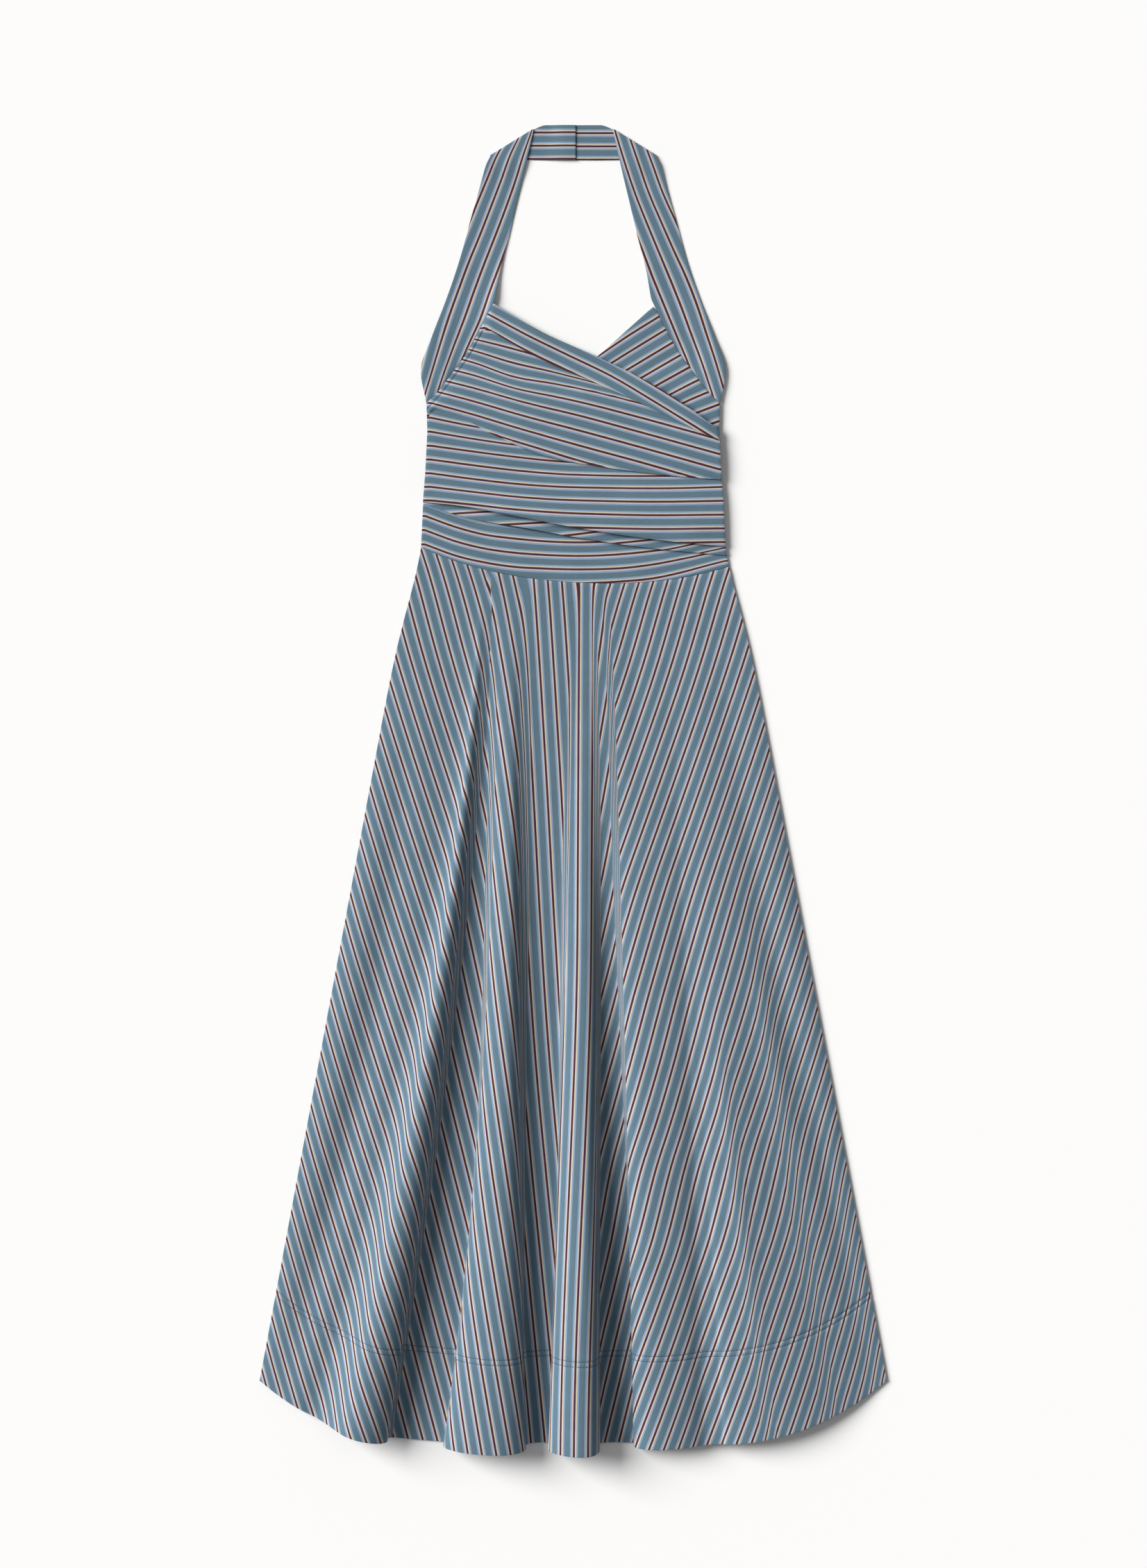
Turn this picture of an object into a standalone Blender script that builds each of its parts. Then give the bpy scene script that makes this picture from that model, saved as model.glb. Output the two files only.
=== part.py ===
"""A midi dress of striped cloth with a halter neck, laid flat with its front up.

+X is the viewer's right, +Y runs from the hem to the neck and +Z is up. The origin is on the
surface that the dress lies on, under the middle of the dress. Sizes are in millimetres, and
the cloth is worked out as a middle surface that a Solidify modifier gives its thickness.
"""
import math
from collections import namedtuple

import bpy
import numpy as np

MM = 0.001
WALL = 1.1
SEAM = 0.3
LAYER = WALL + SEAM
FLOOR_LEVEL = WALL / 2

# The bodice: half its width down the side, from the armhole to the waist
SIDE_Y = (253, 304, 333, 375, 404)
SIDE_HALF = (160, 157.6, 155.3, 153.2, 154)

# The skirt: its half width is a slope of SIDE_FLARE below SIDE_TOP, drawn in at the waist
SIDE_TOP = 245
SIDE_WIDTH = 168.4
SIDE_FLARE = 0.1857
WAIST_NIP = 7
WAIST_NIP_DEPTH = 75

# Seams and hem: their height at the left and right side, and how far they sag between
Sag = namedtuple("Sag", "left right sag power")
WAIST_SEAM = Sag(253.5, 233.5, 26.5, 2.2)
HEM = Sag(-623, -623, 74.5, 3.6)
BACK_SHORTER = 16
VALLEY_LIFT = 11
WAISTBAND = 50
BACK_TOP = 398
BACK_WAIST = 303
BACK_INSET = 1.0

# Lines across the bodice, left to right, as x and y
NECKLINE = ((-84, 509.5), (-32, 479), (25, 453.5), (95, 417), (154, 376))
STRAP_SEAM = ((-154, 404.5), (-141, 418), (-124.5, 440), (-109, 462), (-96, 486), (-84, 509.5))
PLEAT_HIGH = ((-95, 488.5), (-38, 455.5), (27, 427), (90, 398), (151, 368))
PLEAT_LOW = ((-157, 402), (-119, 391), (-81, 373), (-33, 352.5), (27, 341), (115, 330), (157, 327))
WRAP_HEM = ((-157, 301), (-120, 297), (-76, 289), (-4, 275), (80, 262), (160, 254))
UNDER_TOP = ((-157, 307), (-60, 380), (25, 454), (86, 508.5))
UNDER_HEM = ((-157, 299), (-114, 285), (-53, 274), (20, 261), (68, 254), (158, 245))
SEAM_CORNER = 84
SEAM_GAP = (-0.3, 0.2)
ON_BACK_FROM = 455
ON_BACK_TO = 402

# How far the hems of the wrap and the under panel stand open in the middle, and how far down
# the under panel its lift starts
WRAP_OPEN = 5.0
UNDER_OPEN = 2.2
UNDER_OPEN_FROM = 0.85

# The wrap from its neckline to its hem: each row lies a share of the way between two lines,
# moved down, lifted by a share of each pleat's step and puffed up a little
PLEAT_STEP = 2.2
PLEAT_ROOM = 7
LOW_PLEAT_FROM = 0.10
LOW_PLEAT_TO = 0.40
Row = namedtuple("Row", "above below share moved high low puff")
WRAP_SECTION = (
    Row("top", "high", 0.0, 0, 1, 1, 0),
    Row("top", "high", 0.5, 0, 1, 1, 0.5),
    Row("top", "high", 1.0, -2, 1, 1, 0),
    Row("top", "high", 1.0, 0, 0.6, 1, 0),
    Row("top", "high", 1.0, -1.2, 0, 1, 0),
    Row("high", "low", 0.34, 0, 0, 1, 1),
    Row("high", "low", 0.67, 0, 0, 1, 1),
    Row("high", "low", 1.0, -2, 0, 1, 0),
    Row("high", "low", 1.0, 0, 0, 0.6, 0),
    Row("high", "low", 1.0, -1.2, 0, 0, 0),
    Row("low", "hem", 0.5, 0, 0, 0, 0.8),
    Row("low", "hem", 1.0, -4, 0, 0, 0.6),
    Row("low", "hem", 1.0, 0, 0, 0, 0),
)

# A strap, from its seam to the fold behind the neck: its two edges, how much of the bodice's
# height it still has, and how much of the height over the nape band
Station = namedtuple("Station", "inner_x inner_y outer_x outer_y bodice nape")
STRAP = (
    Station(-81.5, 517, -160, 441, 0.8, 0),
    Station(-78, 538, -149, 474, 0.4, 0),
    Station(-73, 560, -134, 513, 0.1, 0),
    Station(-67, 583, -121, 551, 0, 0),
    Station(-60, 613, -108.5, 596, 0, 0),
    Station(-53, 642, -97, 637, 0, 0.35),
    Station(-49.5, 657, -92.5, 653, 0, 1),
    Station(-41.5, 693, -87, 665, 0, 1),
)
NAPE = (
    Station(-32, 697, -62, 662, 0, 0),
    Station(-22, 697.5, -32, 661, 0, 0),
)
# The left end lies over the right one, 10 mm of which is under it
LEFT_END = (Station(-11, 697.5, -11, 661, 0, 1), Station(2.5, 697.5, 2.5, 661, 0, 1))
RIGHT_END = (Station(-8, 697.5, -8, 661, 0, 0), Station(7.5, 697.5, 7.5, 661, 0, 0))
FOLD_BULGE = 0.7
FOLD_TURN = np.radians((45, 90, 135, 180))
FOLD_OUT = (-0.5, 0.8)

# Folds of the skirt's front, left to right. An edge is where a fold shows widest: its x at
# the waist and at the hem, and the power of its bend between. A run is how far the wall
# spreads at the hem, or tucks in under the fold where it is negative.
# A foot is how high it still is where a run ends, as a share of the fold's height.
Fold = namedtuple("Fold", "name left left_hem left_bend right right_hem right_bend "
                          "crest height left_run left_foot right_run right_foot")
FOLDS = (
    Fold("ramp", -99, -232, 1.4, -92, -190, 1.4, 0.55, 34, 30, 0.25, -14, 0),
    Fold("left", -79, -141.5, 1.8, -58, -51, 3.0, 0.42, 32, -11, 0, -13, 0),
    Fold("centre", 9, -31, 1.0, 15, 22, 1.0, 0.52, 36, -12, 0, -12, 0),
    Fold("right", 34, 60, 0.5, 87, 127.5, 0.8, 0.42, 33, -12, 0, -10, 0),
    Fold("broad", 112.6, 156.5, 1.1, 127, 268, 1.0, 0.32, 30, -5, 0, 40, 0.15),
)
RUN_AT_WAIST = 9
FOLD_START = 0.03
FOLD_RISE = 0.55
TUCK_START = 0.2
# Shares of the way from an edge to the crest, and of the height
SHOULDER = (0.45, 0.92)
EDGE_HEIGHT = 0.5
CREST_HEIGHT = 1.03
# Low waves between the outer folds and the side edges: share of the way in, and the height
# above the middle of the skirt and at its hem
LEFT_WAVES = ((0, 0, 0), (0.14, 5.5, 2), (0.40, 5, 4), (0.72, 1, 8))
RIGHT_WAVES = ((0.72, 3, 1.5), (0.42, 5, 1), (0.14, 3, 0.5), (0, 0, 0))

SKIRT_ROWS = 20
STEPS_PER_KNOT = 2
PANEL_COLUMNS = 24
STRAP_COLUMNS = 6
# Columns of a panel as shares of its width. The wrap has one on the corner of its strap seam.
CORNER = 0.5 - SEAM_CORNER / (2 * SIDE_HALF[-1])
EVEN_COLUMNS = np.linspace(0, 1, PANEL_COLUMNS + 1)
WRAP_COLUMNS = np.append(np.linspace(0, CORNER, STRAP_COLUMNS + 1),
                         np.linspace(CORNER, 1, PANEL_COLUMNS)[1:])

STRIPED_BLUE = (0.13, 0.21, 0.26, 1)
ROUGHNESS = 0.8


def ease(value, start, end):
    """0 at the start and 1 at the end, with a soft way between."""
    share = min(max((value - start) / (end - start), 0), 1)
    return share * share * (3 - 2 * share)


def smooth_line(points):
    """A function that gives y for x, soft through the points."""
    x, y = np.array(points, float).T
    slopes = np.gradient(y, x)

    def height(at):
        i = int(np.clip(np.searchsorted(x, at) - 1, 0, len(x) - 2))
        width = x[i + 1] - x[i]
        t = min(max((at - x[i]) / width, 0), 1)
        rise = (1 + 2 * t) * (1 - t) ** 2 * y[i] + t * t * (3 - 2 * t) * y[i + 1]
        return rise + width * (t * (1 - t) ** 2 * slopes[i] - t * t * (1 - t) * slopes[i + 1])

    return height


def half_width(y):
    """Half the width of the dress at the height y, below the straps."""
    if y > SIDE_Y[0]:
        return float(np.interp(y, SIDE_Y, SIDE_HALF))
    down = SIDE_TOP - y
    nip = WAIST_NIP * math.exp(-((down / WAIST_NIP_DEPTH) ** 2))
    return SIDE_WIDTH + SIDE_FLARE * down - nip


def height_on(line, share):
    """The y where a line crosses the column at this share of the width."""
    y = line(0)
    for _ in range(4):
        y = line((2 * share - 1) * half_width(y))
    return y


def sag_line(curve):
    """The y, for a share of the width, of a seam or hem that sags from side to side."""
    def height(share):
        ends = curve.left + (curve.right - curve.left) * share
        return ends - curve.sag * (1 - abs(2 * share - 1) ** curve.power)

    return height


def across(line):
    """The y, for a share of the width, of a line given in x."""
    return lambda share: height_on(line, share)


waist_line = sag_line(WAIST_SEAM)
hem_line = sag_line(HEM)
neckline = smooth_line(NECKLINE)
strap_seam = smooth_line(STRAP_SEAM)
under_top = smooth_line(UNDER_TOP)
pleat_high = across(smooth_line(PLEAT_HIGH))
pleat_low = across(smooth_line(PLEAT_LOW))
wrap_hem = across(smooth_line(WRAP_HEM))
under_hem = across(smooth_line(UNDER_HEM))
wrap_top = across(lambda x: strap_seam(x) if x < -SEAM_CORNER else neckline(x))
under_edge = across(lambda x: strap_seam(-x) if x > SEAM_CORNER else under_top(x))


def under_level(y):
    """Height of the under panel: on the surface above the back panel, then on two layers."""
    return FLOOR_LEVEL + 2 * LAYER * ease(y, ON_BACK_FROM, ON_BACK_TO)


def wrap_level(y):
    return under_level(y) + LAYER


def cloth(name, points):
    """A closed wall of cloth about a grid of points, rows from the top and columns from the left."""
    rows, columns = len(points), len(points[0])
    flat = [tuple(MM * value for value in point) for row in points for point in row]
    faces = []
    for row in range(rows - 1):
        for column in range(columns - 1):
            corner = row * columns + column
            faces.append((corner, corner + columns, corner + columns + 1, corner + 1))
    mesh = bpy.data.meshes.new(name)
    mesh.from_pydata(flat, [], faces)
    mesh.shade_smooth()
    piece = bpy.data.objects.new(name, mesh)
    bpy.context.scene.collection.objects.link(piece)
    wall = piece.modifiers.new("wall", "SOLIDIFY")
    wall.thickness = WALL * MM
    wall.offset = 0
    material = bpy.data.materials.new(name)
    material.use_nodes = True
    surface = material.node_tree.nodes["Principled BSDF"]
    surface.inputs["Base Color"].default_value = STRIPED_BLUE
    surface.inputs["Roughness"].default_value = ROUGHNESS
    surface.inputs["Metallic"].default_value = 0
    mesh.materials.append(material)
    return piece


def opening(share):
    """How far a hem stands open: nothing at the sides, and 1 in the middle."""
    return math.sin(math.pi * share) ** 0.7


def panel(name, top, bottom, level, rows, inset=0.0, shares=EVEN_COLUMNS, lift=0.0):
    """A flat panel between two lines, at the height that level gives for each point's y."""
    grid = []
    for down in np.linspace(0, 1, rows + 1):
        row = []
        for share in shares:
            y = top(share) * (1 - down) + bottom(share) * down
            z = level(y) + lift * opening(share) * ease(down, UNDER_OPEN_FROM, 1)
            row.append(((2 * share - 1) * (half_width(y) - inset), y, z))
        grid.append(row)
    return cloth(name, grid)


def wrap_panel():
    """The upper front, from the left strap across to the right side, with two pleats."""
    grid = [[] for _ in WRAP_SECTION]
    for share in WRAP_COLUMNS:
        line = {"top": wrap_top(share), "hem": wrap_hem(share)}
        line["high"] = min(pleat_high(share), line["top"] - PLEAT_ROOM)
        line["low"] = min(pleat_low(share), line["high"] - PLEAT_ROOM)
        high_step = PLEAT_STEP * ease(line["top"] - line["high"], PLEAT_ROOM, 2 * PLEAT_ROOM)
        low_step = PLEAT_STEP * ease(share, LOW_PLEAT_FROM, LOW_PLEAT_TO)
        for points, row in zip(grid, WRAP_SECTION):
            y = line[row.above] + (line[row.below] - line[row.above]) * row.share - row.moved
            lift = high_step * row.high + low_step * row.low + row.puff
            if row.above == "low":
                lift += WRAP_OPEN * opening(share) * row.share ** 2
            points.append(((2 * share - 1) * half_width(y), y, wrap_level(y) + lift))
    cloth("bodice_wrap", grid)
    return grid[0][:STRAP_COLUMNS + 1]


def strap(name, side, seam_row, ends):
    """A strap from the bodice up to its fold, and back behind the neck to its end."""
    rows = [[
        (side * (x + SEAM_GAP[0]), y + SEAM_GAP[1], z) for x, y, z in seam_row
    ]]
    shares = np.linspace(0, 1, STRAP_COLUMNS + 1)
    seam_heights = [z for _, _, z in rows[0]]

    def station(at, level, moved=0.0):
        row = []
        for share, seam_z in zip(shares, seam_heights):
            x = at.outer_x + (at.inner_x - at.outer_x) * share
            y = at.outer_y + (at.inner_y - at.outer_y) * share
            z = level + at.bodice * (seam_z - FLOOR_LEVEL) + at.nape * LAYER
            row.append((side * (x + FOLD_OUT[0] * moved), y + FOLD_OUT[1] * moved, z))
        return row

    for at in STRAP:
        rows.append(station(at, FLOOR_LEVEL))
    for turn in FOLD_TURN:
        down = LAYER * (1 - math.cos(turn)) / 2
        rows.append(station(STRAP[-1], FLOOR_LEVEL - down, FOLD_BULGE * math.sin(turn)))
    for at in (*NAPE, *ends):
        rows.append(station(at, FLOOR_LEVEL))
    cloth(name, rows)


def fold_knots(fold, down):
    """Points of one fold at this share of the way down: foot, edge, crest, edge and foot."""
    left = fold.left + (fold.left_hem - fold.left) * down ** fold.left_bend
    right = fold.right + (fold.right_hem - fold.right) * down ** fold.right_bend
    rise = fold.height * ease(down, FOLD_START, 1) ** FOLD_RISE
    tucked = ease(down, TUCK_START, 1)
    left_run = RUN_AT_WAIST + (fold.left_run - RUN_AT_WAIST) * tucked
    right_run = RUN_AT_WAIST + (fold.right_run - RUN_AT_WAIST) * tucked
    crest = left + fold.crest * (right - left)
    way_in, shoulder = SHOULDER
    return [
        (left - left_run, fold.left_foot * rise),
        (left, EDGE_HEIGHT * rise),
        (left + way_in * (crest - left), shoulder * rise),
        (crest, CREST_HEIGHT * rise),
        (right - way_in * (right - crest), shoulder * rise),
        (right, EDGE_HEIGHT * rise),
        (right + right_run, fold.right_foot * rise),
    ]


def skirt_line(share, down):
    """The y of the skirt's front at a share of its width and a share of the way down."""
    return (waist_line(share) - SEAM) * (1 - down) + hem_line(share) * down


def share_at(x, down):
    """The share of the skirt's width at which x lies."""
    share = 0.5
    for _ in range(6):
        share = min(max(0.5 + 0.5 * x / half_width(skirt_line(share, down)), 0), 1)
    return share


def skirt_knots(down):
    """The cross-section of the skirt's front at this share of the way down, left to right."""
    left, right = -half_width(skirt_line(0, down)), half_width(skirt_line(1, down))
    folds = [fold_knots(fold, down) for fold in FOLDS]
    first, last = folds[0][0][0], folds[-1][-1][0]
    wave = ease(down, 0.0, 0.5)
    knots = [
        (left + (first - left) * share, wave * (high + (low - high) * down))
        for share, high, low in LEFT_WAVES
    ]
    for fold, following in zip(folds, folds[1:] + [None]):
        knots += fold
        if following:
            knots.append(((fold[-1][0] + following[0][0]) / 2, 0))
    knots += [
        (right - (right - last) * share, wave * (high + (low - high) * down))
        for share, high, low in RIGHT_WAVES
    ]
    return np.array(knots)


def spline(knots, steps):
    """A smooth uniform B-spline that starts and ends on the first and last knots."""
    first, last = 2 * knots[0] - knots[1], 2 * knots[-1] - knots[-2]
    line = np.vstack([first, knots, last])
    points = []
    for i in range(len(line) - 3):
        for step in range(steps):
            t = step / steps
            weights = ((1 - t) ** 3, 3 * t**3 - 6 * t**2 + 4, 3 * (t + t * t - t**3) + 1, t**3)
            points.append(sum(w * p for w, p in zip(weights, line[i:i + 4])) / 6)
    points.append(knots[-1])
    return np.array(points)


def skirt_front():
    """The front of the skirt: flared cloth that stands in long folds from waist to hem."""
    level = FLOOR_LEVEL + LAYER
    grid = []
    for down in np.linspace(0, 1, SKIRT_ROWS + 1):
        section = spline(skirt_knots(down), STEPS_PER_KNOT)
        tallest = section[:, 1].max() + 1
        row = []
        for x, z in section:
            share = share_at(x, down)
            inside = (1 - abs(2 * share - 1)) ** 0.5
            y = skirt_line(share, down) + VALLEY_LIFT * down**3 * (1 - z / tallest) * inside
            row.append((x, y, level + z))
        grid.append(row)
    return cloth("skirt_front", grid)


for old in list(bpy.data.objects):
    bpy.data.objects.remove(old)

on_back = FLOOR_LEVEL + LAYER
panel("bodice_back", lambda share: BACK_TOP, lambda share: BACK_WAIST + SEAM,
      lambda y: FLOOR_LEVEL, 2, BACK_INSET)
panel("waistband_back", lambda share: BACK_WAIST, lambda share: waist_line(share) + SEAM,
      lambda y: FLOOR_LEVEL, 2, BACK_INSET)
panel("skirt_back", waist_line,
      lambda share: hem_line(share) + BACK_SHORTER * (1 - abs(2 * share - 1)) ** 0.5,
      lambda y: FLOOR_LEVEL, 12, BACK_INSET)
panel("waistband_front", lambda share: waist_line(share) + WAISTBAND, waist_line,
      lambda y: on_back, 3)
panel("bodice_under", under_edge, under_hem, under_level, 10, shares=1 - WRAP_COLUMNS[::-1],
      lift=UNDER_OPEN)
seam = wrap_panel()
skirt_front()
strap("strap_left", 1, seam, LEFT_END)
right_seam = [(x, y, under_level(y)) for x, y, _ in seam]
strap("strap_right", -1, right_seam, RIGHT_END)
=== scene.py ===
# %% [markdown]
# # A striped midi dress with a halter neck, laid flat
# The dress lies on its back on a pale floor. Its front has a waistband, an under panel and a
# wrap with two long pleats, all cut with the stripes across, and a flared skirt cut with the
# stripes down. Two straps run up from the bodice and meet behind the neck.
#
# The frame holds the solids of the cloth. Each one is replaced here by a thin shell on the same
# middle surface, worked out from the same sizes on a finer grid, so that small creases, seams
# and stripes can be added. +X is the viewer's right, +Y runs from the hem to the neck and +Z is
# up. Sizes are in millimetres until they go into a mesh.

import math
from collections import namedtuple

import bpy
import numpy as np
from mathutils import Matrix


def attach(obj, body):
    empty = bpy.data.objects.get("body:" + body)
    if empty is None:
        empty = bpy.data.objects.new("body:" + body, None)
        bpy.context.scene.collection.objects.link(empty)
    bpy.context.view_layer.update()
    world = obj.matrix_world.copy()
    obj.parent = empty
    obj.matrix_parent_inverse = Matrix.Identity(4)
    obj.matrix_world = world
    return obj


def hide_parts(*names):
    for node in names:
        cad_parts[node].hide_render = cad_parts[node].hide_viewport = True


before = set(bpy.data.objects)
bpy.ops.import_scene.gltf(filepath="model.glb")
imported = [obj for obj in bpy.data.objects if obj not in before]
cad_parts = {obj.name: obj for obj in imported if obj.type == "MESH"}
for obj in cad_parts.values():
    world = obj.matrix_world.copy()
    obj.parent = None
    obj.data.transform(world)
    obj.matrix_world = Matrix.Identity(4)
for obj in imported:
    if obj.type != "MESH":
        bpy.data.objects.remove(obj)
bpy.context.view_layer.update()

# %% [markdown]
# ## The cloth's layers
# A dress that lies flat is a pile of cloth: back panel, waistband, under panel and wrap. The
# solids are 1.1 mm thick and 0.3 mm apart. The real cloth is thinner, so the shells here are
# thinner walls on the same middle surfaces.

# %% Thickness of the layers
MM = 0.001
SOLID_WALL = 1.1
SEAM = 0.3
LAYER = SOLID_WALL + SEAM
FLOOR_LEVEL = SOLID_WALL / 2
WALL = 0.6
EDGE_ROUND = 0.22
print("a layer every", LAYER, "mm, each", WALL, "mm thick")

# %% [markdown]
# ## Soft lines and steps
# Seams and pleats are soft lines through a few points. A cubic line that keeps each point's
# slope gives that with few numbers. It could also be a curve object, but a function can be asked
# for its height at any place, which is what a grid of cloth needs.


# %% Helpers for soft lines
def ease(value, start, end):
    """0 at the start and 1 at the end, with a soft way between."""
    share = np.clip((value - start) / (end - start), 0, 1)
    return share * share * (3 - 2 * share)


def smooth_line(points):
    """A function that gives y for x, soft through the points."""
    x, y = np.array(points, float).T
    slopes = np.gradient(y, x)

    def height(at):
        i = np.clip(np.searchsorted(x, at) - 1, 0, len(x) - 2)
        width = x[i + 1] - x[i]
        t = np.clip((at - x[i]) / width, 0, 1)
        rise = (1 + 2 * t) * (1 - t) ** 2 * y[i] + t * t * (3 - 2 * t) * y[i + 1]
        return rise + width * (t * (1 - t) ** 2 * slopes[i] - t * t * (1 - t) * slopes[i + 1])

    return height


# %% [markdown]
# ## The outline
# The sides draw in at the waist and flare below it. Seams and the hem sag between their ends.
# All the panels share these lines, so that they meet at the seams.

# %% Outline of the dress
SIDE_Y = (253, 304, 333, 375, 404)
SIDE_HALF = (160, 157.6, 155.3, 153.2, 154)
SIDE_TOP = 245
SIDE_WIDTH = 168.4
SIDE_FLARE = 0.1857
WAIST_NIP = 7
WAIST_NIP_DEPTH = 75
Sag = namedtuple("Sag", "left right sag power")
WAIST_SEAM = Sag(253.5, 233.5, 26.5, 2.2)
HEM = Sag(-623, -623, 74.5, 3.6)


def half_width(y):
    """Half the width of the dress at the height y, below the straps."""
    down = SIDE_TOP - y
    skirt = SIDE_WIDTH + SIDE_FLARE * down - WAIST_NIP * np.exp(-((down / WAIST_NIP_DEPTH) ** 2))
    return np.where(y > SIDE_Y[0], np.interp(y, SIDE_Y, SIDE_HALF), skirt)


def sag_line(curve):
    """The y, for a share of the width, of a seam or hem that sags from side to side."""
    def height(share):
        ends = curve.left + (curve.right - curve.left) * share
        return ends - curve.sag * (1 - np.abs(2 * share - 1) ** curve.power)

    return height


def across(line):
    """The y, for a share of the width, of a line given in x."""
    def height(share):
        y = line(0 * share)
        for _ in range(4):
            y = line((2 * share - 1) * half_width(y))
        return y

    return height


waist_line = sag_line(WAIST_SEAM)
hem_line = sag_line(HEM)
print("half width at the waist and hem:", half_width(240).round(1), half_width(-623).round(1))

# %% [markdown]
# ## The striped cloth
# The cloth is woven with coloured threads: a dark red stripe with a cream line and a light blue
# line on each side, on a ground of grey teal. A ColorRamp holds one repeat of it. The UV map
# named cut holds each point's place in the cut piece, with 1 for each repeat across the stripes,
# so the fraction of its X picks the colour and the stripes follow every fold as woven ones do.
# Noise that is stretched along the threads makes the yarn uneven, and fine waves are the weave.

# %% Dyes
REPEAT = 14.75
DARK_HALF = 0.076
CREAM_END = 0.174
BLUE_END = 0.288
SOFT = 0.012


def dye(red, green, blue, strength=1.0):
    """A colour as light, from its 0 to 255 values on a screen."""
    shares = np.array((red, green, blue)) / 255
    light = np.where(shares < 0.04045, shares / 12.92, ((shares + 0.055) / 1.055) ** 2.4)
    return (*(light * strength), 1)


STRENGTH = 0.82
GROUND = dye(98, 124, 140, STRENGTH)
BLUE = dye(138, 165, 194, STRENGTH)
CREAM_ABOVE = dye(214, 203, 180, STRENGTH)
CREAM_BELOW = dye(204, 195, 194, STRENGTH)
DARK = dye(74, 36, 54, STRENGTH)
print("ground colour", [round(value, 3) for value in GROUND])


# %% Cloth material
def node(tree, kind, **sockets):
    """A new node with some of its sockets set."""
    made = tree.nodes.new("ShaderNode" + kind)
    for name, value in sockets.items():
        made.inputs[name.replace("_", " ")].default_value = value
    return made


def striped_cloth(name):
    """Woven striped cotton that reads the UV map of the piece it is on."""
    material = bpy.data.materials.new(name)
    material.use_nodes = True
    tree = material.node_tree
    link = tree.links.new
    surface = tree.nodes["Principled BSDF"]
    surface.inputs["Sheen Weight"].default_value = 0.12
    surface.inputs["Sheen Roughness"].default_value = 0.5
    surface.inputs["Specular IOR Level"].default_value = 0.25

    place = tree.nodes.new("ShaderNodeUVMap")
    place.uv_map = "cut"
    parts = tree.nodes.new("ShaderNodeSeparateXYZ")
    link(place.outputs["UV"], parts.inputs[0])

    yarn = node(tree, "Mapping", Scale=(16, 1.6, 1))
    link(place.outputs["UV"], yarn.inputs["Vector"])
    uneven = node(tree, "TexNoise", Scale=1.0, Detail=3.0, Roughness=0.6)
    link(yarn.outputs[0], uneven.inputs["Vector"])
    washed = node(tree, "TexNoise", Scale=0.45, Detail=3.0, Roughness=0.5)
    link(place.outputs["UV"], washed.inputs["Vector"])

    wander = tree.nodes.new("ShaderNodeMath")
    wander.operation = "MULTIPLY_ADD"
    link(uneven.outputs["Fac"], wander.inputs[0])
    wander.inputs[1].default_value = 0.02
    link(parts.outputs["X"], wander.inputs[2])
    shifted = tree.nodes.new("ShaderNodeMath")
    shifted.operation = "ADD"
    shifted.inputs[1].default_value = 0.49
    link(wander.outputs[0], shifted.inputs[0])
    repeat = tree.nodes.new("ShaderNodeMath")
    repeat.operation = "FRACT"
    link(shifted.outputs[0], repeat.inputs[0])

    ramp = tree.nodes.new("ShaderNodeValToRGB")
    link(repeat.outputs[0], ramp.inputs["Fac"])
    stops = [(0.0, GROUND)]
    for side, cream in ((-1, CREAM_BELOW), (1, CREAM_ABOVE)):
        bands = [(BLUE_END, GROUND, BLUE), (CREAM_END, BLUE, cream), (DARK_HALF, cream, DARK)]
        for end, outer, inner in bands[::-side]:
            first, second = (outer, inner) if side < 0 else (inner, outer)
            stops.append((0.5 + side * end - SOFT, first))
            stops.append((0.5 + side * end + SOFT, second))
    while len(ramp.color_ramp.elements) < len(stops):
        ramp.color_ramp.elements.new(0.5)
    for element, (position, colour) in zip(ramp.color_ramp.elements, stops):
        element.position = position
        element.color = colour

    tone = tree.nodes.new("ShaderNodeMapRange")
    tone.inputs["To Min"].default_value = 0.84
    tone.inputs["To Max"].default_value = 1.16
    link(uneven.outputs["Fac"], tone.inputs["Value"])
    fade = tree.nodes.new("ShaderNodeMapRange")
    fade.inputs["To Min"].default_value = 0.90
    fade.inputs["To Max"].default_value = 1.10
    link(washed.outputs["Fac"], fade.inputs["Value"])
    both = tree.nodes.new("ShaderNodeMath")
    both.operation = "MULTIPLY"
    link(tone.outputs[0], both.inputs[0])
    link(fade.outputs[0], both.inputs[1])
    dyed = tree.nodes.new("ShaderNodeVectorMath")
    dyed.operation = "SCALE"
    link(ramp.outputs["Color"], dyed.inputs[0])
    link(both.outputs[0], dyed.inputs["Scale"])
    link(dyed.outputs[0], surface.inputs["Base Color"])

    dry = tree.nodes.new("ShaderNodeMapRange")
    dry.inputs["To Min"].default_value = 0.74
    dry.inputs["To Max"].default_value = 0.92
    link(uneven.outputs["Fac"], dry.inputs["Value"])
    link(dry.outputs[0], surface.inputs["Roughness"])

    weft = node(tree, "TexWave", Scale=7.0, Distortion=0.6, Detail=1.0)
    weft.bands_direction = "Y"
    link(place.outputs["UV"], weft.inputs["Vector"])
    warp = node(tree, "TexWave", Scale=7.0, Distortion=0.6, Detail=1.0)
    link(place.outputs["UV"], warp.inputs["Vector"])
    weave = tree.nodes.new("ShaderNodeMath")
    weave.operation = "MULTIPLY"
    link(weft.outputs["Fac"], weave.inputs[0])
    link(warp.outputs["Fac"], weave.inputs[1])
    relief = tree.nodes.new("ShaderNodeMath")
    relief.operation = "ADD"
    link(weave.outputs[0], relief.inputs[0])
    link(uneven.outputs["Fac"], relief.inputs[1])
    bump = node(tree, "Bump", Strength=0.35, Distance=0.0002)
    link(relief.outputs[0], bump.inputs["Height"])
    link(bump.outputs[0], surface.inputs["Normal"])
    return material


cloth_finish = striped_cloth("striped_cotton")
print("cloth material with", len(cloth_finish.node_tree.nodes), "nodes")

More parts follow.
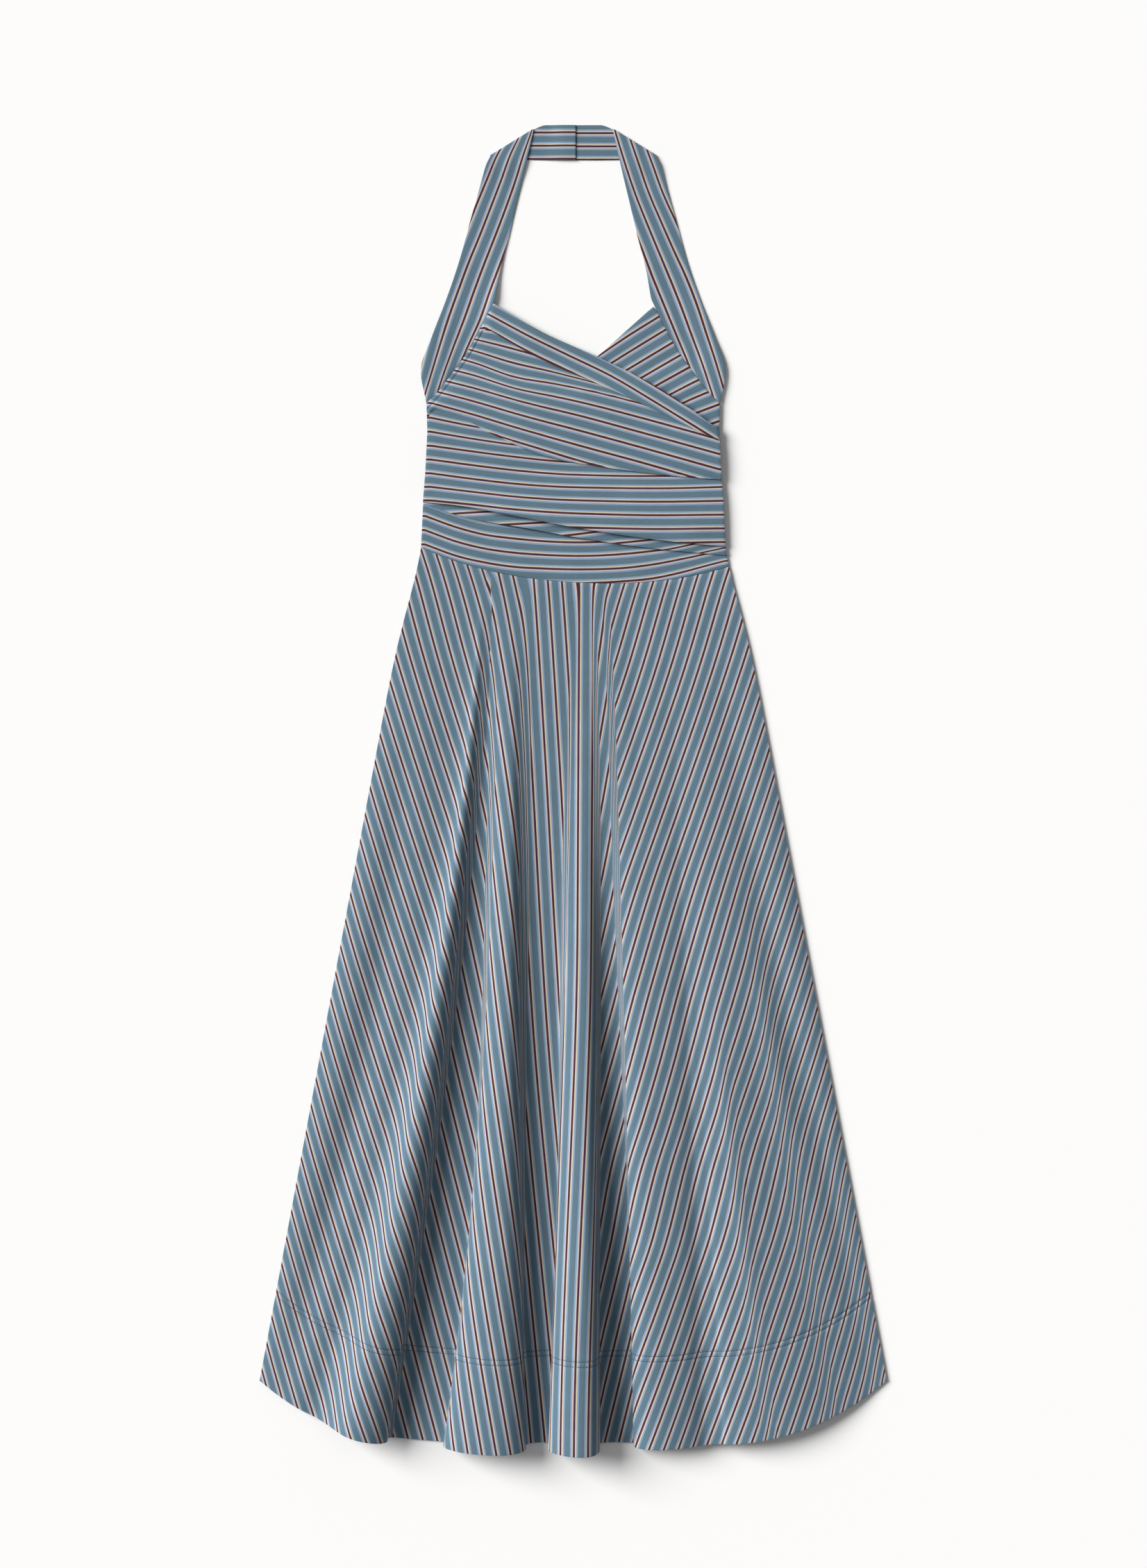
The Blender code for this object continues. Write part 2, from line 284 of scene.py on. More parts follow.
# %% [markdown]
# ## A sheet of cloth
# Every piece of the dress starts as Blender's grid primitive with one corner for each point of
# the worked-out surface. The corners are moved to their places, the UV map gets each corner's
# place in the cut, and Solidify and Bevel make it a wall with soft edges. A face keeps its own
# stripe values, so a pleat can hide a jump in the stripes as it does on the real cloth.

# %% Making a sheet
PANEL_COLUMNS = 96
LOWEST = WALL / 2 + 0.05
ON_FLOOR = "floor"


def finish_with(piece, kind, **settings):
    """Adds a modifier to the piece and applies it."""
    modifier = piece.modifiers.new(kind.lower(), kind)
    for name, value in settings.items():
        setattr(modifier, name, value)
    bpy.ops.object.modifier_apply(modifier=modifier.name)


def lay_cloth(name, solid, points, cut):
    """A wall of cloth about a grid of points, rows from the top and columns from the left.

    cut[row][0] and cut[row][1] are the stripe values along the upper and the lower side of the
    faces below that row.
    """
    rows, columns = points.shape[:2]
    points = np.stack([points[..., 0], points[..., 1], np.maximum(points[..., 2], LOWEST)], axis=2)
    bpy.ops.object.select_all(action="DESELECT")
    bpy.ops.mesh.primitive_grid_add(x_subdivisions=columns - 1, y_subdivisions=rows - 1, size=1)
    piece = bpy.context.object
    piece.name = piece.data.name = name
    mesh = piece.data
    mesh.vertices.foreach_set("co", (points[::-1] * MM).ravel())

    corner = np.empty(len(mesh.loops), int)
    mesh.loops.foreach_get("vertex_index", corner)
    face_row = np.repeat(np.arange(len(mesh.polygons)), 4) // (columns - 1)
    upper = corner // columns > face_row
    place = np.array(cut)[rows - 2 - face_row, np.where(upper, 0, 1), corner % columns]
    mesh.uv_layers[0].name = "cut"
    mesh.uv_layers[0].data.foreach_set("uv", place.ravel())
    mesh.materials.append(cloth_finish)
    finish_with(piece, "SOLIDIFY", thickness=WALL * MM, offset=0)
    finish_with(piece, "BEVEL", width=EDGE_ROUND * MM, segments=2, limit_method="ANGLE",
                angle_limit=math.radians(60), harden_normals=False)
    mesh.shade_smooth()
    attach(piece, "root")
    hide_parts(solid)
    return piece


def quad_area(points):
    """Area of a grid of points in square metres."""
    one = points[1:, 1:] - points[:-1, :-1]
    two = points[1:, :-1] - points[:-1, 1:]
    return float(np.linalg.norm(np.cross(one, two), axis=2).sum() / 2) * MM * MM


# %% [markdown]
# ## Stripes across the bodice
# On the real dress the stripes of the bodice run across it, and a pleat or a pull on the cloth
# bends them. Guide lines, each with its stripe number, are laid across a panel like tacking
# thread, and the number of any point comes from the guides above and below it.


# %% Stripe numbers from guide lines
def stripes_between(*guides):
    """A function that gives the stripe number at x and y from guides of a number and a line."""
    numbers = [number for number, _ in guides]
    lines = [smooth_line(points) for _, points in guides]

    def number_at(x, y):
        heights = [line(x) for line in lines]
        number = np.zeros_like(y)
        for i in range(len(lines) - 1):
            low, high = heights[i], heights[i + 1]
            found = numbers[i] + (numbers[i + 1] - numbers[i]) * (y - low) / (high - low)
            inside = y > low if i else y > -1e9
            number = np.where(inside, found, number)
        return number

    return number_at


def left_of(x_from, left, right):
    """One stripe function left of a place and another one right of it."""
    return lambda x, y: np.where(x < x_from, left(x, y), right(x, y))


def cut_of(points, numbers, first=0, last=None):
    """Stripe values for the faces between rows of points, all with the same stripe function."""
    cut = []
    for above, below in zip(points[first:last], points[first + 1:last]):
        cut.append([
            np.stack([numbers(row[:, 0], row[:, 1]), row[:, 0] / REPEAT], axis=1)
            for row in (above, below)
        ])
    return cut


# %% [markdown]
# ## The back
# The back isn't seen in front views, and it carries the rest: a plain strip above the waist,
# the waistband and the skirt's back, each a flat panel on the floor. They could be one sheet,
# but the real dress has seams there, so they are three, a seam apart.

# %% Back panels
BACK_TOP = 398
BACK_WAIST = 303
BACK_INSET = 1.0
BACK_SHORTER = 16
BACK_STRIPES = stripes_between(
    (0, ((-160, 262), (0, 232), (160, 262))),
    (1, ((-160, 276.75), (0, 246.75), (160, 276.75))),
)


def panel_points(top, bottom, level, rows, inset=0.0, shares=None):
    """A flat panel between two lines, at the height that level gives for each point's y."""
    shares = np.linspace(0, 1, PANEL_COLUMNS + 1) if shares is None else shares
    grid = []
    for down in np.linspace(0, 1, rows + 1):
        y = top(shares) * (1 - down) + bottom(shares) * down
        x = (2 * shares - 1) * (half_width(y) - inset)
        grid.append(np.stack([x, y, level(y)], axis=1))
    return np.array(grid)


def straight(y):
    return lambda share: y + 0 * share


def on_floor(y):
    return FLOOR_LEVEL + 0 * y


bodice_back = panel_points(straight(BACK_TOP), straight(BACK_WAIST + SEAM), on_floor, 16, BACK_INSET)
band_back = panel_points(straight(BACK_WAIST), lambda share: waist_line(share) + SEAM,
                         on_floor, 14, BACK_INSET)
skirt_back = panel_points(
    waist_line, lambda share: hem_line(share) + BACK_SHORTER * (1 - abs(2 * share - 1)) ** 0.5,
    on_floor, 90, BACK_INSET)
back_pieces = [
    lay_cloth("bodice_back_cloth", "bodice_back", bodice_back, cut_of(bodice_back, BACK_STRIPES)),
    lay_cloth("waistband_back_cloth", "waistband_back", band_back, cut_of(band_back, BACK_STRIPES)),
]
skirt_back_cut = []
for above, below in zip(skirt_back, skirt_back[1:]):
    skirt_back_cut.append([np.stack([row[:, 0], row[:, 1]], axis=1) / REPEAT
                           for row in (above, below)])
back_pieces.append(lay_cloth("skirt_back_cloth", "skirt_back", skirt_back, skirt_back_cut))
for piece, points, size in zip(back_pieces, (bodice_back, band_back, skirt_back),
                               ((0.313, 0.096), (0.318, 0.078), (0.657, 0.940))):
    print(piece.name, "flat area", round(quad_area(points), 4))

# %% [markdown]
# ## Creases
# Pressed cloth that is gathered under a wrap keeps soft troughs and ridges. Each one is given
# as a line with a bow, a width and a height, which fades out at both ends. They are moves of
# the grid's points, because a bump texture wouldn't change the outline or cast a shadow.

# %% Creases
Crease = namedtuple("Crease", "x1 y1 x2 y2 bow width height")


def creased(points, creases):
    """The points with each crease's height added, strongest in the middle of its line."""
    points = points.copy()
    x, y = points[..., 0], points[..., 1]
    for crease in creases:
        along = np.array((crease.x2 - crease.x1, crease.y2 - crease.y1), float)
        length = np.hypot(*along)
        along /= length
        way = ((x - crease.x1) * along[0] + (y - crease.y1) * along[1]) / length
        off = (y - crease.y1) * along[0] - (x - crease.x1) * along[1]
        inside = np.clip(way, 0, 1)
        off = off - crease.bow * 4 * inside * (1 - inside)
        fade = np.sin(math.pi * inside) ** 0.8
        points[..., 2] += crease.height * fade * np.exp(-((off / crease.width) ** 2))
    return points


def rolled(points, top=0.0, bottom=0.0, reach=2.0):
    """The points with the top or bottom edge rolled down into its seam."""
    points = points.copy()
    for edge, depth in ((0, top), (-1, bottom)):
        gap = np.linalg.norm(points[..., :2] - points[edge][None, :, :2], axis=2)
        points[..., 2] -= depth * np.exp(-((gap / reach) ** 2))
    return points


# %% [markdown]
# ## The waistband
# The front waistband is a shaped strip above the skirt. Its stripes sag with its lower seam, and
# its upper part lies in the shade of the wrap's hem.

# %% Waistband
WAISTBAND = 50
BAND_STRIPES = stripes_between(
    (-2, ((-160, 228), (-121, 215), (-62, 203), (-18, 201), (25, 201.5), (83, 206), (142, 220), (160, 226))),
    (-1, ((-156, 242.4), (-121, 229.6), (-62.6, 218.3), (-18.8, 215.7), (25, 216.2), (54, 218),
          (83, 220.8), (113, 227), (142, 234.8), (160, 239.4))),
    (0, ((-156, 256.6), (-121, 244), (-92, 237.4), (-62.6, 233), (-33.4, 231.3), (25, 230.5),
         (54, 231.8), (83, 235.4), (113, 241), (160, 251))),
    (1, ((-156, 271.6), (-121, 259), (-92, 252), (-62.6, 247.9), (-33.4, 245.7), (25, 244.8),
         (54, 246.6), (98, 251.5), (160, 262))),
)
BAND_CREASES = (
    Crease(-30, 252, 110, 246, -3, 5, -0.5),
    Crease(20, 238, 150, 252, -4, 6, 0.45),
    Crease(60, 224, 156, 240, -3, 5, -0.3),
    Crease(-150, 268, -60, 246, -3, 7, 0.35),
    Crease(-120, 238, 10, 222, -3, 8, 0.25),
)
on_back = FLOOR_LEVEL + LAYER


def on_back_level(y):
    return on_back + 0 * y


waistband = panel_points(lambda share: waist_line(share) + WAISTBAND, waist_line, on_back_level, 26)
waistband = rolled(creased(waistband, BAND_CREASES), bottom=0.4)
band_piece = lay_cloth("waistband_front_cloth", "waistband_front", waistband,
                       cut_of(waistband, BAND_STRIPES))
print("waistband", round(quad_area(waistband), 4), "square metres")

# %% [markdown]
# ## The under panel
# It comes from the right strap and crosses under the wrap to the left side seam. Only its top
# right corner and a narrow strip of its hem show. The stripes rise to the right there, and short
# soft folds fan out from the place where the wrap holds it.

# %% Bodice lines
NECKLINE = ((-84, 509.5), (-32, 479), (25, 453.5), (95, 417), (154, 376))
STRAP_SEAM = ((-154, 404.5), (-141, 418), (-124.5, 440), (-109, 462), (-96, 486), (-84, 509.5))
PLEAT_HIGH = ((-95, 488.5), (-38, 455.5), (27, 427), (90, 398), (151, 368))
PLEAT_LOW = ((-157, 402), (-119, 391), (-81, 373), (-33, 352.5), (27, 341), (115, 330), (157, 327))
WRAP_HEM = ((-157, 301), (-120, 297), (-76, 289), (-4, 275), (80, 262), (160, 254))
UNDER_TOP = ((-157, 307), (-60, 380), (25, 454), (86, 508.5))
UNDER_HEM = ((-157, 299), (-114, 285), (-53, 274), (20, 261), (68, 254), (158, 245))
SEAM_CORNER = 84
ON_BACK_FROM = 455
ON_BACK_TO = 402
WRAP_OPEN = 5.0
UNDER_OPEN = 2.2
UNDER_OPEN_FROM = 0.85
SEAM_COLUMNS = 22
CORNER = 0.5 - SEAM_CORNER / (2 * SIDE_HALF[-1])
WRAP_COLUMNS = np.append(np.linspace(0, CORNER, SEAM_COLUMNS + 1),
                         np.linspace(CORNER, 1, PANEL_COLUMNS)[1:])

neckline = smooth_line(NECKLINE)
strap_seam = smooth_line(STRAP_SEAM)
under_top = smooth_line(UNDER_TOP)
pleat_high = across(smooth_line(PLEAT_HIGH))
pleat_low = across(smooth_line(PLEAT_LOW))
wrap_hem = across(smooth_line(WRAP_HEM))
under_hem = across(smooth_line(UNDER_HEM))
wrap_top = across(lambda x: np.where(x < -SEAM_CORNER, strap_seam(x), neckline(x)))
under_edge = across(lambda x: np.where(x > SEAM_CORNER, strap_seam(-x), under_top(x)))


def under_level(y):
    """Height of the under panel: on the surface above the back panel, then on two layers."""
    return FLOOR_LEVEL + 2 * LAYER * ease(y, ON_BACK_FROM, ON_BACK_TO)


def opening(share):
    """How far a hem stands open: nothing at the sides, and 1 in the middle."""
    return np.sin(math.pi * share) ** 0.7


# %% Under panel
UNDER_STRIPES = stripes_between(
    (-16, ((-165, 228), (0, 238), (47, 243.5), (95, 250.4), (138, 259.2), (160, 264))),
    (-15, ((-165, 243), (-8, 251.5), (47, 257.7), (83, 261.3), (138, 270), (160, 275))),
    (-14, ((-165, 258), (-80, 262), (-8, 265.7), (32, 270.5), (83, 276), (138, 285), (160, 290))),
    (-13, ((-165, 272), (-81, 276.7), (-20, 280.3), (32, 285.3), (83, 291), (138, 300), (160, 305))),
    (-11, ((-165, 301), (-81, 306), (-20, 310), (32, 315), (83, 320.5), (138, 329.5), (160, 335))),
    (-5, ((-160, 312), (-62.6, 341.6), (54, 387.6), (98, 411.7), (127, 427), (156.4, 440.2))),
    (-2, ((-160, 330), (-62.6, 375), (54, 438.6), (83, 456), (98, 465), (156.4, 499.3))),
    (0, ((-160, 345), (-62.6, 402), (25, 453.8), (54, 473.5), (98, 501), (156.4, 537.3))),
)
UNDER_CREASES = (
    Crease(40, 444, 96, 476, 2, 4.5, -0.55),
    Crease(66, 430, 124, 462, 2, 4.5, -0.6),
    Crease(90, 418, 140, 442, 2, 4, -0.6),
    Crease(112, 404, 150, 422, 1, 3.5, -0.5),
    Crease(52, 438, 112, 470, 2, 5, 0.5),
    Crease(80, 424, 132, 452, 2, 4.5, 0.5),
    Crease(104, 410, 148, 430, 1, 4, 0.45),
    Crease(-112, 287, -40, 281, 1, 3, 0.5),
    Crease(-70, 279, 10, 273, 1, 3, -0.5),
    Crease(-10, 272, 60, 270, 1, 3, 0.5),
    Crease(50, 258, 110, 264, 1, 3, -0.5),
    Crease(95, 254, 156, 262, 1, 3, 0.6),
)
under_columns = 1 - WRAP_COLUMNS[::-1]
under = panel_points(under_edge, under_hem, under_level, 60, shares=under_columns)
lifted = ease(np.linspace(0, 1, len(under)), UNDER_OPEN_FROM, 1)
under[..., 2] += UNDER_OPEN * lifted[:, None] * opening(under_columns)
under = rolled(creased(under, UNDER_CREASES), top=0.15, bottom=0.35)
under_piece = lay_cloth("bodice_under_cloth", "bodice_under", under, cut_of(under, UNDER_STRIPES))
print("under panel", round(quad_area(under), 4), "square metres")

# %% [markdown]
# ## The wrap
# One piece crosses from the left strap to the right side seam and carries two long pleats that
# open towards the left. Each pleat is a step in the cloth: the upper part ends in a rounded fold
# and the lower part comes out from under it. The rows of the grid follow the pleats, so the fold
# lines are straight in the mesh and the step stays crisp.

# %% Rows of the wrap
PLEAT_STEP = 2.2
PLEAT_ROOM = 7
LOW_PLEAT_FROM = 0.10
LOW_PLEAT_TO = 0.40
Row = namedtuple("Row", "above below share moved high low puff")
PLEAT_FOLD = ((-5, 1.0), (-2.4, 1.0), (-1.1, 0.96), (-0.3, 0.85), (0, 0.62), (-0.1, 0.38), (0.5, 0.16),
              (1.2, 0))


def band_rows(above, below, count, high, low, puff, start):
    """Rows of a smooth band between two lines, puffed up in its middle."""
    return [
        Row(above, below, share, 0, high, low, puff * math.sin(math.pi * share) ** 0.8)
        for share in np.linspace(start, 0.9, count)
    ]


wrap_rows = band_rows("top", "high", 8, 1, 1, 0.5, 0.0)
wrap_rows += [Row("top", "high", 1, -out, lift, 1, 0) for out, lift in PLEAT_FOLD[1:]]
high_end = len(wrap_rows) - 1
wrap_rows += band_rows("high", "low", 20, 0, 1, 1.0, 0.05)
wrap_rows += [Row("high", "low", 1, -out, 0, lift, 0) for out, lift in PLEAT_FOLD[1:]]
low_end = len(wrap_rows) - 1
wrap_rows += band_rows("low", "hem", 26, 0, 0, 0.9, 0.04)
wrap_rows += [Row("low", "hem", 1, moved, 0, 0, puff)
              for moved, puff in ((-4, 0.55), (-2, 0.45), (-0.8, 0.25), (0, 0))]
print("the wrap has", len(wrap_rows), "rows, and its pleats end at", high_end, "and", low_end)

# %% Stripes of the wrap
BAND_HIGH = stripes_between(
    (7, ((-92, 484), (-48, 459.5), (-4, 438), (40, 416.5), (83, 390.5), (113, 372.5), (156, 346))),
    (8, ((-92, 499.7), (-48, 475.8), (-4.2, 454.4), (39.6, 433), (83.4, 407), (112.6, 389.2), (156, 362.8))),
)
BAND_MIDDLE = stripes_between(
    (0, ((-150, 405), (-106, 393), (-62.6, 379.7), (10, 359), (69, 343), (153.5, 319))),
    (2, ((-150, 432), (-106, 421), (-48, 404.6), (10, 390.5), (69, 374.4), (153.5, 351))),
    (4, ((-150, 459), (-106, 448), (-62.6, 432.4), (-19, 425), (25, 416), (69, 405), (156, 381))),
    (6, ((-150, 484), (-106, 472.8), (-77, 465.6), (-48, 457.7), (10, 439.5), (156, 398.6))),
)
BAND_LOW = stripes_between(
    (-9, ((-150, 274), (-62.6, 262), (25, 258.7), (98, 257.7), (156, 258.8))),
    (-7, ((-150, 302.6), (-106, 298), (-62.6, 293), (-19, 289.7), (25, 288), (69, 287), (156, 287.5))),
    (-5, ((-150, 331), (-106, 325), (-62.6, 320), (-19, 317), (25, 315.8), (113, 315.5), (156, 316.8))),
    (-3, ((-150, 360), (-106, 354), (-62.6, 348.5), (-19, 344), (25, 342), (156, 341.6))),
    (-1, ((-150, 389.5), (-106, 380.6), (-62.6, 373.8), (25, 367.9), (156, 368.6))),
)
WRAP_CREASES = (
    Crease(-108, 452, 12, 418, -3, 7, -1.5),
    Crease(-70, 460, 30, 424, -2, 6, 0.5),
    Crease(-120, 436, -20, 420, -2, 8, 0.5),
    Crease(-150, 408, -30, 380, -3, 9, 0.5),
    Crease(-72, 337, 44, 331, 2, 6, -1.4),
    Crease(-40, 324, 90, 326, 1, 8, 0.4),
    Crease(-36, 326, 130, 319, 2, 5, -1.2),
    Crease(-22, 308, 56, 307, 1, 5, -0.7),
    Crease(-150, 372, -60, 355, -2, 9, 0.5),
    Crease(-152, 318, -20, 306, -2, 7, -0.45),
    Crease(20, 300, 154, 302, 1, 6, 0.5),
    Crease(60, 280, 156, 292, 1, 6, -0.5),
    Crease(96, 262, 158, 276, 1, 5, 0.5),
    Crease(-100, 296, 10, 284, -2, 6, 0.5),
    Crease(70, 372, 152, 340, -1, 7, 0.4),
    Crease(-30, 390, 110, 350, 2, 9, -0.35),
)

# %% Wrap
share = WRAP_COLUMNS
line = {"top": wrap_top(share), "hem": wrap_hem(share)}
line["high"] = np.minimum(pleat_high(share), line["top"] - PLEAT_ROOM)
line["low"] = np.minimum(pleat_low(share), line["high"] - PLEAT_ROOM)
high_step = PLEAT_STEP * ease(line["top"] - line["high"], PLEAT_ROOM, 2 * PLEAT_ROOM)
low_step = PLEAT_STEP * ease(share, LOW_PLEAT_FROM, LOW_PLEAT_TO)
wrap = []
for row in wrap_rows:
    y = line[row.above] + (line[row.below] - line[row.above]) * row.share - row.moved
    z = under_level(y) + LAYER + high_step * row.high + low_step * row.low + row.puff
    if row.above == "low":
        z = z + WRAP_OPEN * opening(share) * row.share ** 2
    wrap.append(np.stack([(2 * share - 1) * half_width(y), y, z], axis=1))
wrap = rolled(creased(np.array(wrap), WRAP_CREASES), top=0.2, bottom=0.15)
wrap_cut = (cut_of(wrap, left_of(-94, BAND_MIDDLE, BAND_HIGH), 0, high_end + 1)
            + cut_of(wrap, BAND_MIDDLE, high_end, low_end + 1)
            + cut_of(wrap, BAND_LOW, low_end, None))
wrap_piece = lay_cloth("bodice_wrap_cloth", "bodice_wrap", wrap, wrap_cut)
print("wrap", round(quad_area(wrap), 4), "square metres")

# %% [markdown]
# ## The straps
# Each strap is a strip sewn to the bodice on a slant. It narrows a little on its way up, folds
# over at the shoulder and runs behind the neck, where the two ends are sewn together. The
# stripes run along it, so its guides are lines up the strap instead of across it.

# %% Strap stations
SEAM_GAP = (-0.3, 0.2)
Station = namedtuple("Station", "inner_x inner_y outer_x outer_y bodice nape")
STRAP = (
    Station(-81.5, 517, -160, 441, 0.8, 0),
    Station(-78, 538, -149, 474, 0.4, 0),
    Station(-73, 560, -134, 513, 0.1, 0),
    Station(-67, 583, -121, 551, 0, 0),
    Station(-60, 613, -108.5, 596, 0, 0),
    Station(-53, 642, -97, 637, 0, 0.35),
    Station(-49.5, 657, -92.5, 653, 0, 1),
    Station(-41.5, 693, -87, 665, 0, 1),
)
NAPE = (
    Station(-32, 697, -62, 662, 0, 0),
    Station(-22, 697.5, -32, 661, 0, 0),
)
LEFT_END = (Station(-11, 697.5, -11, 661, 0, 1), Station(2.5, 697.5, 2.5, 661, 0, 1))
RIGHT_END = (Station(-8, 697.5, -8, 661, 0, 0), Station(7.5, 697.5, 7.5, 661, 0, 0))
FOLD_BULGE = 0.7
FOLD_OUT = (-0.5, 0.8)
STRAP_STEPS = 7


def soften(rows, steps):
    """More rows between the given ones, on a smooth line through all of them."""
    gaps = np.linalg.norm(np.diff(rows, axis=0), axis=2).mean(axis=1)
    slopes = np.gradient(rows, np.append(0, np.cumsum(gaps)), axis=0)
    made = []
    for i, gap in enumerate(gaps):
        for t in np.arange(steps) / steps:
            rise = (1 + 2 * t) * (1 - t) ** 2 * rows[i] + t * t * (3 - 2 * t) * rows[i + 1]
            bend = (1 - t) * slopes[i] - t * slopes[i + 1]
            made.append(rise + gap * t * (1 - t) * bend)
    made.append(rows[-1])
    return np.array(made)


# %% Strap shape
def strap_points(side, seam_row, ends):
    """Rows up a strap from the bodice to its fold, and the row at which it turns over."""
    shares = np.linspace(0, 1, SEAM_COLUMNS + 1)
    seam_z = seam_row[:, 2]

    def station(at, level, moved=0.0):
        x = at.outer_x + (at.inner_x - at.outer_x) * shares
        y = at.outer_y + (at.inner_y - at.outer_y) * shares
        z = level + at.bodice * (seam_z - FLOOR_LEVEL) + at.nape * LAYER
        return np.stack([side * (x + FOLD_OUT[0] * moved), y + FOLD_OUT[1] * moved, z], axis=1)

    first = np.stack([side * (seam_row[:, 0] + SEAM_GAP[0]), seam_row[:, 1] + SEAM_GAP[1], seam_z],
                     axis=1)
    rise = soften(np.array([first] + [station(at, FLOOR_LEVEL) for at in STRAP]), STRAP_STEPS)
    turn = []
    for angle in np.radians(np.arange(22.5, 181, 22.5)):
        down = LAYER * (1 - math.cos(angle)) / 2
        turn.append(station(STRAP[-1], FLOOR_LEVEL - down, FOLD_BULGE * math.sin(angle)))
    behind = soften(np.array(turn[-1:] + [station(at, FLOOR_LEVEL) for at in (*NAPE, *ends)]), 6)
    return np.concatenate([rise, turn, behind[1:]]), len(rise), len(rise) + len(turn) - 1


# %% Strap stripes
def along_strap(numbers):
    """Turns guides of x for y into a stripe function of x and y."""
    return lambda x, y: numbers(y, x)


LEFT_STRAP_STRIPES = along_strap(stripes_between(
    (0, ((391, -162.6), (435, -149.4), (464, -140.7), (493.5, -131.5), (523, -121), (552, -110.3),
         (581, -98.4), (610, -87.1), (639.5, -75.8), (669, -64.8), (691, -53.8))),
    (1, ((391, -150.2), (435, -136.4), (464, -125.9), (493.5, -114.6), (523, -104.2), (552, -93.4),
         (581, -82), (610, -71), (639.5, -60.6), (669, -51.4), (691, -43.6))),
))
RIGHT_STRAP_STRIPES = along_strap(stripes_between(
    (0, ((391, 140.4), (420.5, 130.5), (450, 119.6), (479, 107.5), (508, 95.6), (537, 83.7),
         (566.5, 72.6), (596, 61.2), (625, 50.6), (654, 41.1), (691, 30.9))),
    (1, ((391, 153.5), (420.5, 144.2), (450, 134.4), (479, 123.6), (508, 112.9), (537, 101.3),
         (566.5, 89), (596, 76.8), (625, 65.3), (654, 55.4), (691, 44))),
))
NAPE_PITCH = 13.9
NAPE_DARK_LEFT = 675.9
NAPE_DARK_RIGHT = 675.2


def nape_stripes(dark_at):
    return lambda x, y: (y - dark_at) / NAPE_PITCH


def strap_cut(points, front, nape, turned):
    """The front's stripes up to the fold, and the nape band's stripes behind it."""
    cut = []
    for i, (above, below) in enumerate(zip(points, points[1:])):
        numbers = front if i < turned else nape
        along = 0 if i < turned else 1
        cut.append([np.stack([numbers(row[:, 0], row[:, 1]), row[:, 1 - along] / REPEAT], axis=1)
                    for row in (above, below)])
    return cut


# %% Straps
STRAP_CREASES = {
    1: (Crease(-141, 488, -150, 418, 2, 3.5, -1.0), Crease(-146, 470, -137, 422, 2, 3, 0.6),
        Crease(-72, 640, -64, 672, 1, 4, 0.5), Crease(-84, 630, -74, 668, 1, 3.5, -0.4)),
    -1: (Crease(70, 640, 62, 678, 1, 4, 0.5), Crease(80, 632, 70, 668, -1, 3.5, -0.4),
         Crease(146, 470, 150, 420, -2, 4, 0.5)),
}
seam = wrap[0, :SEAM_COLUMNS + 1]
right_seam = seam.copy()
right_seam[:, 2] = under[0, ::-1][:SEAM_COLUMNS + 1, 2]
for side, name, row, ends, front, dark_at in (
        (1, "strap_left", seam, LEFT_END, LEFT_STRAP_STRIPES, NAPE_DARK_LEFT),
        (-1, "strap_right", right_seam, RIGHT_END, RIGHT_STRAP_STRIPES, NAPE_DARK_RIGHT)):
    points, fold_starts, fold_ends = strap_points(side, row, ends)
    points[:fold_starts] = creased(points[:fold_starts], STRAP_CREASES[side])
    cut = strap_cut(points, front, nape_stripes(dark_at), (fold_starts + fold_ends) // 2)
    if side < 0:
        points = points[:, ::-1]
        cut = [[values[::-1] for values in pair] for pair in cut]
    points, cut = points[::-1], [pair[::-1] for pair in cut[::-1]]
    piece = lay_cloth(name + "_cloth", name, points, cut)
    print(name, round(quad_area(points), 4), "square metres")

# %% [markdown]
# ## The skirt's front
# The skirt is cut as a sector with the stripes parallel to its centre line. Laid out, its extra
# width stands in five long folds that grow towards the hem. Each cross-section is a smooth
# spline through the feet, edges and crest of every fold. A simulation could drop the cloth on a
# floor, but it wouldn't give these folds in these places, so they are listed one by one.

# %% Folds of the skirt
Fold = namedtuple("Fold", "name left left_hem left_bend right right_hem right_bend "
                          "crest height rise left_run left_foot right_run right_foot")
FOLDS = (
    Fold("ramp", -99, -252, 1.5, -92, -190, 1.4, 0.40, 34, 0.6, 17, 0.12, -12, 0),
    Fold("left", -79, -141.5, 2.2, -58, -46, 3.0, 0.64, 32, 0.6, -11, 0, -9, 0.12),
    Fold("centre", 9, -31, 1.0, 17, 31, 1.0, 0.68, 36, 1.0, -12, 0, -10, 0),
    Fold("right", 34, 60, 0.5, 87, 127.5, 0.8, 0.42, 19, 0.9, -8, 0, 10, 0.45),
    Fold("broad", 115, 160, 1.1, 130, 268, 1.0, 0.30, 17, 0.8, 2, 0.60, 40, 0.15),
)
RUN_AT_WAIST = 9
FOLD_START = 0.03
TUCK_START = 0.2
SHOULDER = (0.45, 0.92)
EDGE_HEIGHT = 0.5
FLOOR_REACH = 2
FLOOR_LENGTH = 6
CREST_HEIGHT = 1.03
LEFT_WAVES = ((0, 0, 0), (0.14, 6, 3), (0.40, 8, 5), (0.72, 4, 8))
RIGHT_WAVES = ((0.72, 3, 1.5), (0.42, 5, 1), (0.14, 3, 0.5), (0, 0, 0))
VALLEY_LIFT = 11
WAVE_STEPS = 12
FOLD_STEPS = 4
# The centre fold is the third, a fold and the valley after it take 8 knots, and a fold's crest
# is its fourth knot
CENTRE_FOLD = 2
KNOTS_A_FOLD = 8
CREST_KNOT = 3


